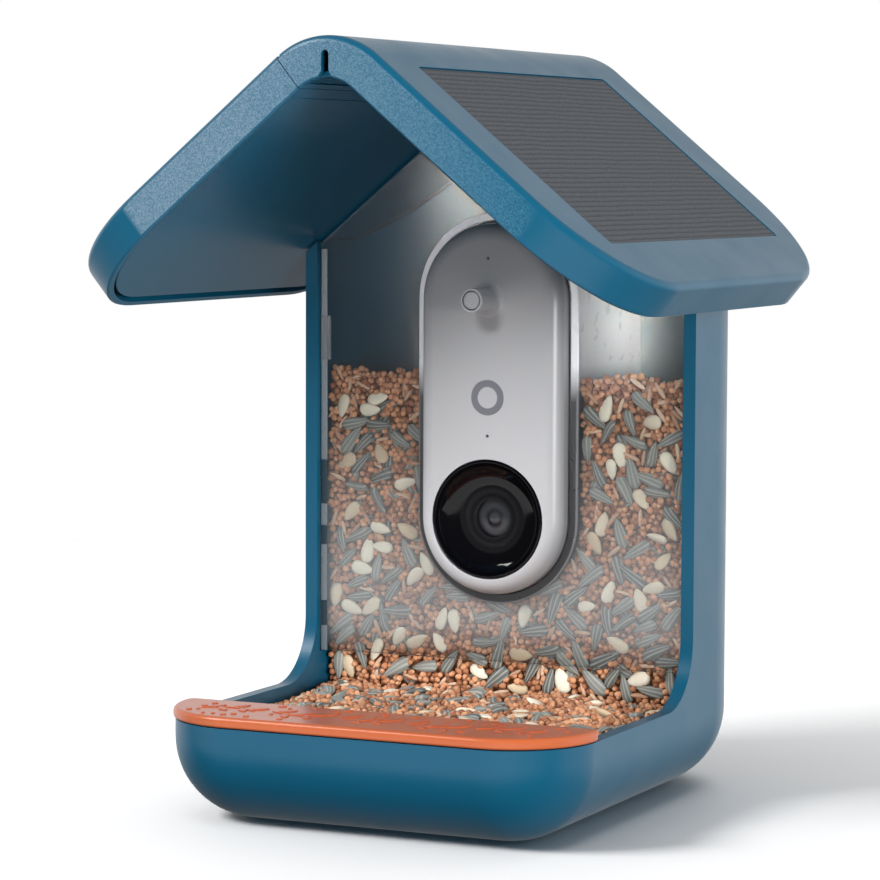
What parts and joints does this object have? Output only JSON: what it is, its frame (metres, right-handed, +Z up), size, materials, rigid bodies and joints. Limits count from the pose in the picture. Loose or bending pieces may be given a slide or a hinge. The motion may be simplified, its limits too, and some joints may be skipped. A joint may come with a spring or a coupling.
{
  "type": "smart bird feeder",
  "caption": "Bird feeder with a seed hopper and open tray under a gabled solar roof, with a hinged lid, a lift-off perch and a removable camera module.",
  "frame": {"origin": "on the base plane, under the centre of the whole feeder's footprint", "axes": "+Z up, -Y towards the tray and the front of the roof, +X towards the slope with the solar panel"},
  "size_m": [0.182, 0.178, 0.228],
  "materials": {
    "blue_plastic": "satin, fine grain on the front faces",
    "navy_plastic": "satin",
    "orange_plastic": "satin with a shallow embossed pattern",
    "clear_plastic": "clear moulded plastic",
    "light_plastic": "smooth gloss",
    "dark_plastic": "satin",
    "gloss_black": "polished",
    "lens_glass": "coated glass",
    "solar_cell": "fine lines under a smooth skin",
    "grey_plastic": "satin",
    "black_rubber": "matt",
    "circuit_board": "solder mask",
    "steel": "plain",
    "brass": "plain"
  },
  "bodies": {
    "base": {"housing": "blue_plastic", "roof_shell": "blue_plastic", "roof_liner": "navy_plastic", "solar_panel": "solar_cell", "roof_screw_1": "steel", "roof_screw_2": "steel", "hopper_window": "clear_plastic", "camera_sleeve": "clear_plastic", "seed_ramp": "grey_plastic", "lid_hinge_pin": "steel", "base_insert": "brass", "rear_insert": "brass"},
    "lid": {"lid_shell": "blue_plastic", "lid_liner": "navy_plastic"},
    "perch": {"perch": "orange_plastic"},
    "camera": {"camera_front": "light_plastic", "camera_rear": "dark_plastic", "camera_gasket": "black_rubber", "lens_dish": "gloss_black", "lens_glass": "lens_glass", "lens_element": "lens_glass", "lens_barrel": "dark_plastic", "sensor_board": "circuit_board", "main_board": "circuit_board", "battery": "grey_plastic", "microphone": "steel", "status_led": "light_plastic", "button_switch": "dark_plastic", "usb_port": "steel", "camera_screw_1": "steel", "camera_screw_2": "steel", "camera_screw_3": "steel", "camera_screw_4": "steel"},
    "button": {"power_button": "light_plastic"},
    "flap": {"usb_cover": "black_rubber"}
  },
  "joints": [
    {"name": "lid_hinge", "type": "hinge", "parent": "base", "child": "lid", "pos_m": [-0.01517, 0, 0.22187], "axis": [0, 1, 0], "range_deg": [0, 95]},
    {"name": "perch_lift", "type": "slide", "parent": "base", "child": "perch", "axis": [0, 0, 1], "range_m": [0, 0.02]},
    {"name": "camera_slide", "type": "slide", "parent": "base", "child": "camera", "axis": [0, -1, 0], "range_m": [0, 0.06]},
    {"name": "power_press", "type": "slide", "parent": "camera", "child": "button", "axis": [0, 1, 0], "range_m": [0, 0.0008], "stiffness_N_per_m": 800},
    {"name": "port_flap", "type": "hinge", "parent": "camera", "child": "flap", "pos_m": [0, 0.072, 0.0806], "axis": [1, 0, 0], "range_deg": [0, 100]}
  ]
}
